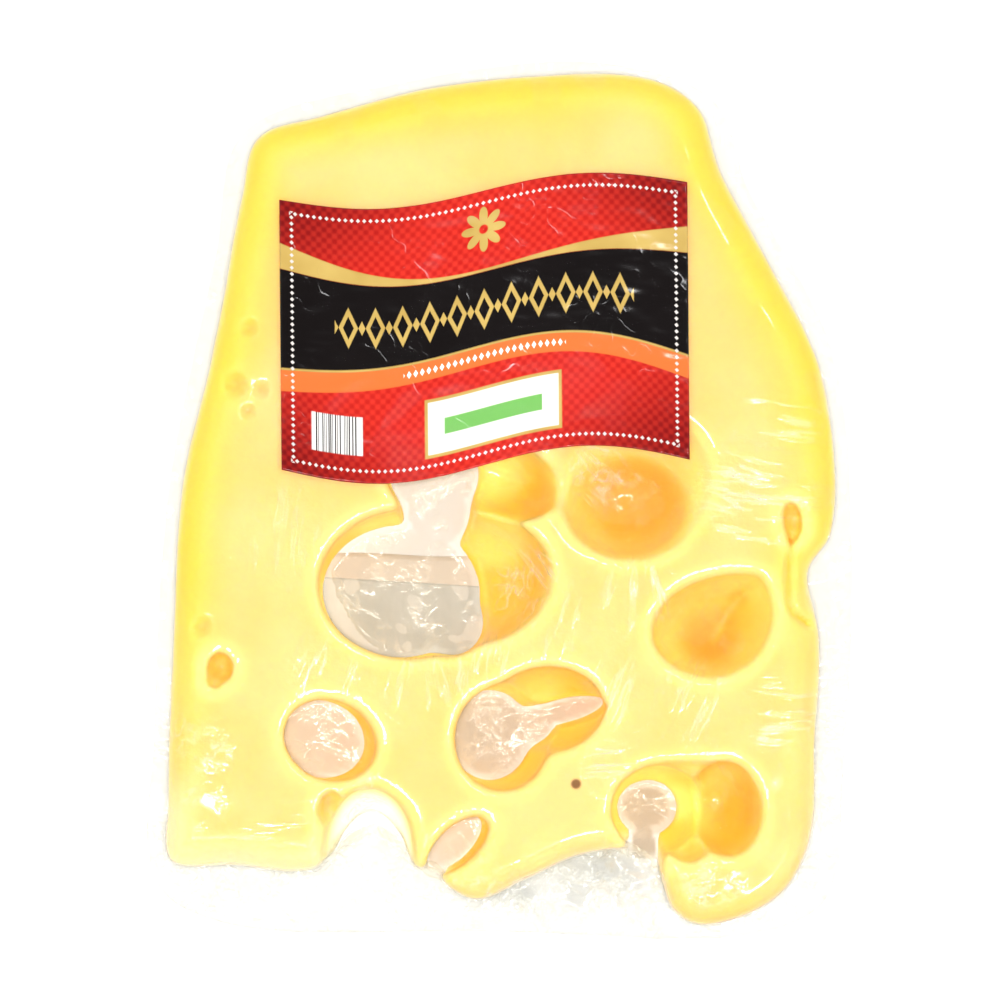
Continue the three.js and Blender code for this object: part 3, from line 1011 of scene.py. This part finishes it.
def film_values(p):
    """How crumpled and shiny the skin of film is at each point, how milky with painted light on it,
    and how much painted bounce and painted shadow tint it.
    """
    crumple, _, _ = crease_map(p.x, p.y)
    open_web = ramp(p.through, 0.3, 0.8) * ramp(p.depth, 10, 14)
    walls = ramp(p.through, -0.8, 0.2) * ramp(p.depth, 1.0, 2.5) * (1 - open_web)
    quiet = 0.02 + 0.15 * ramp(p.inside, -4, 0) + 0.25 * ramp(p.edge, -5, 0) * ramp(p.y, -30, -70)
    outline = ramp(p.edge, -1.2, 0.4) * (1 - 0.9 * p.side)
    # veil: milky where crumpled, and painted light that whitens the torn edge and the slab's
    # outline
    milk_and_painted_light = 0.01 * crumple + 0.38 * p.torn(-3.5, (0.5, 5), 0.85) + 0.3 * outline
    in_eye = ramp(p.inside, -1, 1.5) * ramp(p.depth, 1, 4)
    gleam = ramp(ripple((p.x, p.y), 14, 55), 0.6, 1.4) * ramp(p.x, -36, -28)
    rim = ramp(p.edge, -10, -6.5) * (1 - gleam) * (0.95 + 0.05 * ramp(p.y, -72, -55))
    dull_web = open_web * (0.3 + 0.7 * ramp(p.edge, -1, 0.5))
    shine = (0.1 - 0.065 * in_eye) * (1 - rim) * (1 - walls) * (1 - dull_web)
    return {
        "crumple": np.max([crumple, quiet, 0.5 * p.side], axis=0) * (1 - open_web) + 0.4 * open_web,
        "milk_and_painted_light": milk_and_painted_light * (1 - walls) * (1 - open_web),
        # painted bounce light from the paste, over what is seen through open eyes
        "warm": painted_bounce_on_webs(p) * open_web,
        "painted_shadow": 0,
        "shine": shine + 0.3 * p.side,
    }


def build_film(grid, field, material):
    points, quads = surface_net(field, grid.low, GRID_STEP)
    face = ramp(points[:, 2], 6, 16)
    values = film_values(Places(grid, points))
    return film_piece("film_skin", points, quads, material, face, **values)


def margin_plan():
    """Places from the slab's outline to the film's, and how far across each of them lies."""

    def spread(outline, per_knot):
        loop = even(smooth_loop(outline, per_knot))
        return loop[np.linspace(0, len(loop), MARGIN_AROUND, endpoint=False).astype(int)]

    inner, outer = spread(SLAB_OUTLINE, 40), spread(FILM_OUTLINE, 60)
    start = np.argmin(np.hypot(*(outer - inner[0]).T))
    outer = np.roll(outer, -start, axis=0)
    t = np.linspace(0, 1, MARGIN_ACROSS)[None, :, None]
    plan = inner[:, None] * (1 - t) + outer[:, None] * t
    return plan[..., 0], plan[..., 1], np.broadcast_to(t[..., 0], plan.shape[:2])


def margin_height(x, y, t, low):
    """The margin's upper side: it rises against the slab, but not where film closes an eye."""
    points = rows(x, y, np.full(x.shape, 2.0))
    mouths = depth_in_eyes(points, [eye for eye in THROUGH_EYES if eye is not NOTCH])
    tent = TENT_HEIGHT * (1 - t) ** 5 * (1 - ramp(mouths.reshape(x.shape), -6, 0.5))
    lift = ripples((x, y), [(22, 11, 0.5), (8, 12, 0.3), (4, 13, 0.08)])
    loose = 1.4 * (0.25 + 0.75 * low) * ramp(t, 0, 0.35)
    return MARGIN_TOP + tent * (1 + 0.2 * ripple((x, y), 6, 14)) + np.abs(lift) * loose


def margin_quads(index):
    """Quads of the margin's two sides and its outer edge, over a grid of point numbers."""
    after = np.roll(index, -1, axis=0)
    upper = rows(index[:, :-1], index[:, 1:], after[:, 1:], after[:, :-1])
    a, b = index[:, -1], after[:, -1]
    edge = rows(a, a + index.size, b + index.size, b)
    return np.concatenate([upper, upper[:, ::-1] + index.size, edge])


def build_margin(material):
    """The crumpled double margin that runs round the slab, rising a little against its side."""
    x, y, t = margin_plan()
    low = ramp(y, *LOOSE_Y)
    near_slab = ramp(t, 0.4, 0)
    patches = 0.5 + 0.5 * ramp(ripple((x, y), 12, 15), -1, 1)
    shaded_patches = ramp(web_spread(x, y, SHADED_MARGIN), 1, 0.3) * patches
    values = {
        "crumple": 0.15 + 0.6 * low,
        # milky margin, with painted light near the slab over its shadow there
        "milk_and_painted_light": 0.01 + 0.04 * low + 0.3 * low * near_slab**3,
        # painted bounce light from the paste near the slab
        "warm": SHADED_MARGIN.warmth * shaded_patches * near_slab,
        # painted shadow in the margin's shaded patches
        "painted_shadow": 0.8 * shaded_patches,
    }
    heights = margin_height(x, y, t, low), np.full(x.shape, MARGIN_UNDER)
    points = np.concatenate([rows(x, y, z) for z in heights])
    values = {key: np.tile(value.ravel(), len(heights)) for key, value in values.items()}
    quads = margin_quads(np.arange(x.size).reshape(x.shape))
    return film_piece("film_margin", points, quads, material, **values, shine=0.1)


# --- Labels ---


def closed_sheet(index):
    """Quads of a thin closed sheet over a grid of point numbers, and of the same grid below it."""
    shift = index.size
    face = rows(index[:-1, :-1], index[1:, :-1], index[1:, 1:], index[:-1, 1:])
    loop = np.concatenate([index[:-1, 0], index[-1, :-1], index[:0:-1, -1], index[0, :0:-1]])
    after = np.roll(loop, -1)
    side = rows(loop, loop + shift, after + shift, after)
    return np.concatenate([face, face[:, ::-1] + shift, side])


def sheet(name, counts, place, thickness, material, printed=False):
    """A thin closed sheet over the points that place gives for s and t, each from 0 to 1."""
    s, t = np.meshgrid(*(np.linspace(0, 1, count) for count in counts), indexing="ij")
    top = rows(*place(s, t))
    prints = rows(s, t, np.zeros_like(s))
    attributes = {"print": np.tile(prints, (2, 1))} if printed else {}
    points = np.concatenate([top, top - [0, 0, thickness]])
    faces = closed_sheet(np.arange(s.size).reshape(s.shape))
    return add_mesh(name, points, faces, material, attributes)


def put_down(u, v, centre, degrees):
    """Where places on a sheet lie when it is turned and its middle is put at the centre."""
    x, y = turned(u, v, -degrees)
    return centre[0] + x, centre[1] + y


def build_label(grid):
    width, height = LABEL_SIZE

    def sway(s, swing, drop):
        return swing * np.sin(2 * math.pi * s) + drop * s

    def place(s, t):
        foot = -height / 2 - sway(s, *LABEL_FOOT)
        head = height / 2 - sway(s, *LABEL_HEAD)
        x, y = put_down((s - 0.5) * width, foot + (head - foot) * t, LABEL_CENTRE, LABEL_TURN)
        over = np.maximum(grid.edge_at(x, y) + RIM_ROUND, 0)
        drop = RIM_ROUND - np.sqrt(np.maximum(RIM_ROUND**2 - over**2, 0))
        creases = ripple((x, y), 16, 21) * 0.05 + ripple((x, y * 2.5), 9, 22) * 0.03
        top = LABEL_HIGH[2] - LABEL_PAPER - drop
        return x, y, top + np.clip(creases, -LABEL_CREASE, LABEL_CREASE)

    paper = label_material()
    return sheet("front_label_print", (200, 140), place, LABEL_PAPER, paper, printed=True)


def build_sticker():
    width, height = STICKER_SIZE
    middle = (STICKER_LOW + STICKER_HIGH) / 2

    def place(s, t):
        x, y = put_down((s - 0.5) * width, (t - 0.5) * height, middle, STICKER_TURN)
        return x, y, STICKER_TOP + ripple((x, y), 12, 31) * 0.01

    return sheet("back_sticker_paper", (60, 36), place, STICKER_PAPER, sticker_material())


def build_seam():
    """The strip under the slab where the two edges of the film lap."""

    def place(s, t):
        x = SEAM_REACH * (2 * s - 1)
        y = SEAM_EDGE - SEAM_WIDTH * (1 - t) + ripple((x,), 40, 41) * 0.15
        return x, y, SEAM_TOP + ripple((x, y), 10, 42) * 0.01

    return sheet("film_seam", (200, 8), place, SEAM_FILM, seam_material())


# --- Studio ---

# Lengths here are metres.
CAMERA_HEIGHT = 0.82
VIEW_WIDTH = 0.2  # across the frame at the slab's upper face
KEY_SIZE = 0.08, 0.08  # a soft light on the camera's line, which the film doesn't mirror
KEY_HEIGHT = 0.9
KEY_POWER = 8.6
GLINT_LIGHTS = [(-120, 5.0), (-55, 3.5), (50, 2.0)]  # bearing and power of those the film mirrors
GLINT_RING = 0.36
GLINT_HEIGHT = 1.3
GLINT_SIZE = 0.3, 0.06
FLOOR_HALF = 1.2
SKY = 0.99, 0.906, 0.1, 0.65  # dim straight above, bright lower down: two heights, two strengths


def area_light(name, size, power, place):
    """A light that faces the origin."""
    data = bpy.data.lights.new(name, "AREA")
    data.shape = "RECTANGLE"
    data.size, data.size_y = size
    data.energy = power
    lamp = add_object(name, data)
    lamp.location = place
    direction = Vector((0, 0, 0)) - lamp.location
    lamp.rotation_euler = direction.to_track_quat("-Z", "Y").to_euler()
    return lamp


def build_floor():
    corners = [(x * FLOOR_HALF, y * FLOOR_HALF, 0) for x, y in ((-1, -1), (1, -1), (1, 1), (-1, 1))]
    mesh = bpy.data.meshes.new("floor")
    mesh.from_pydata(corners, [], [(0, 1, 2, 3)])
    mesh.materials.append(floor_material())
    add_object("floor", mesh)


def build_lights():
    for bearing, power in GLINT_LIGHTS:
        angle = math.radians(bearing)
        place = (GLINT_RING * math.cos(angle), GLINT_RING * math.sin(angle), GLINT_HEIGHT)
        glint = area_light("glint", GLINT_SIZE, power, place)
        glint.visible_diffuse = False
    key = area_light("key", KEY_SIZE, KEY_POWER, (0, 0, KEY_HEIGHT))
    key.visible_glossy = False


def build_sky():
    world = bpy.data.worlds.new("studio")
    world.use_nodes = True
    nodes, links = world.node_tree.nodes, world.node_tree.links
    place = nodes.new("ShaderNodeTexCoord")
    split = nodes.new("ShaderNodeSeparateXYZ")
    fade = nodes.new("ShaderNodeMapRange")
    fade.interpolation_type = "SMOOTHSTEP"
    for socket, value in zip(fade.inputs[1:5], SKY):
        socket.default_value = value
    links.new(place.outputs["Generated"], split.inputs[0])
    links.new(split.outputs[2], fade.inputs[0])
    links.new(fade.outputs[0], nodes["Background"].inputs["Strength"])
    nodes["Background"].inputs["Color"].default_value = (1, 1, 1, 1)
    bpy.context.scene.world = world


def build_camera():
    data = bpy.data.cameras.new("camera")
    data.lens = data.sensor_width * CAMERA_HEIGHT / VIEW_WIDTH
    camera = add_object("camera", data)
    camera.location = (0, 0, CAMERA_HEIGHT + FACE * MM)
    bpy.context.scene.camera = camera


# --- Build ---

grid = Grid()
cheese_field = grid.cheese()
clear_film = film_material()
pieces = [
    (build_cheese(grid, cheese_field), "cheese", "cheese_in_film"),
    (build_film(grid, grid.film(cheese_field), clear_film), "film", "cheese_in_film"),
    (build_margin(clear_film), "film", "cheese_in_film"),
    (build_label(grid), "label", "front_label"),
    (build_sticker(), "sticker", "back_sticker"),
    (build_seam(), "film", "cheese_in_film"),
]
for piece, slot, node in pieces:
    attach(piece, "root")
    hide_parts(node)

build_floor()
build_lights()
build_sky()
build_camera()
bpy.context.scene.view_settings.view_transform = "Standard"
